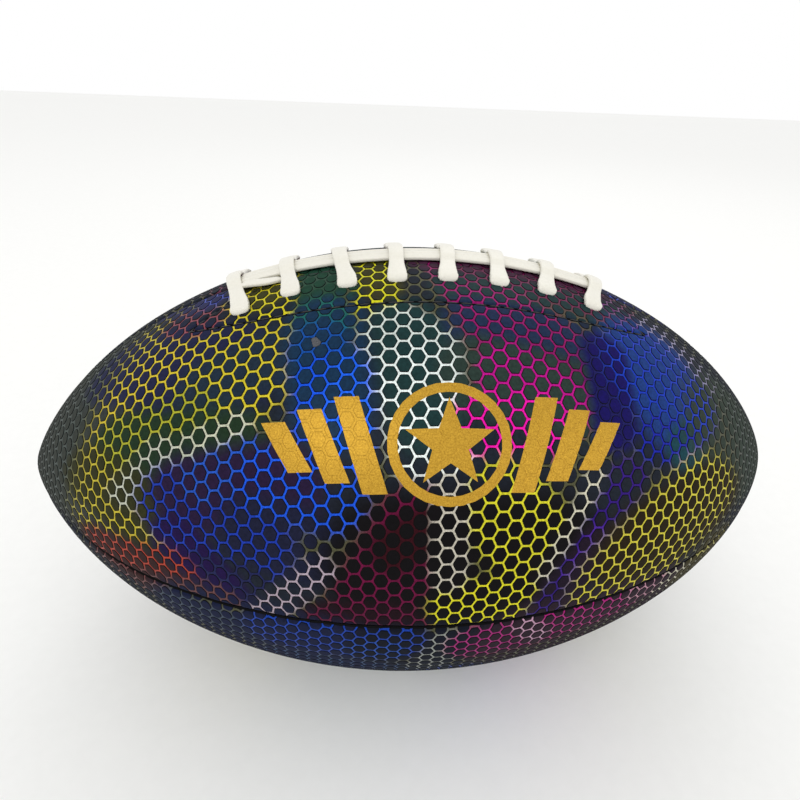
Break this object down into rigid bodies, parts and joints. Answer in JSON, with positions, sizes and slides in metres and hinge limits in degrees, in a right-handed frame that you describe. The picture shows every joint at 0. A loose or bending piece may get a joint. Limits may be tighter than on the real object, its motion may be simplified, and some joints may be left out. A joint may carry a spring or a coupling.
{
  "type": "american football",
  "caption": "Pointed laced ball of stitched panels with a honeycomb foil cover, linings, lace facings, a rubber bladder and a needle valve.",
  "frame": {"origin": "centre of the ball's bounding box, on its long axis", "axes": "+X along the ball's long axis, +Z towards the lace, -Y towards the valve side"},
  "size_m": [0.2798, 0.1562, 0.1592],
  "materials": {
    "cover": "satin composite cover with holographic honeycomb foil",
    "lining": "woven cotton",
    "facing": "matt split hide",
    "thread": "waxed polyester",
    "lace": "ribbed PVC",
    "tongue": "matt",
    "bladder": "moulded",
    "valve": "moulded, speckled"
  },
  "bodies": {
    "root": {"panel_front_upper": "cover", "lining_front_upper": "lining", "panel_front_lower": "cover", "lining_front_lower": "lining", "lace_facing_front": "facing", "facing_stitches_front": "thread", "panel_back_upper": "cover", "lining_back_upper": "lining", "panel_back_lower": "cover", "lining_back_lower": "lining", "lace_facing_back": "facing", "facing_stitches_back": "thread", "seam_thread_front": "thread", "seam_thread_bottom": "thread", "seam_thread_back": "thread", "seam_thread_lace_left": "thread", "seam_thread_lace_right": "thread", "lace": "lace", "lace_tongue": "tongue", "bladder": "bladder", "valve_body": "valve", "valve_plug": "valve", "valve_patch": "bladder"}
  },
  "joints": []
}
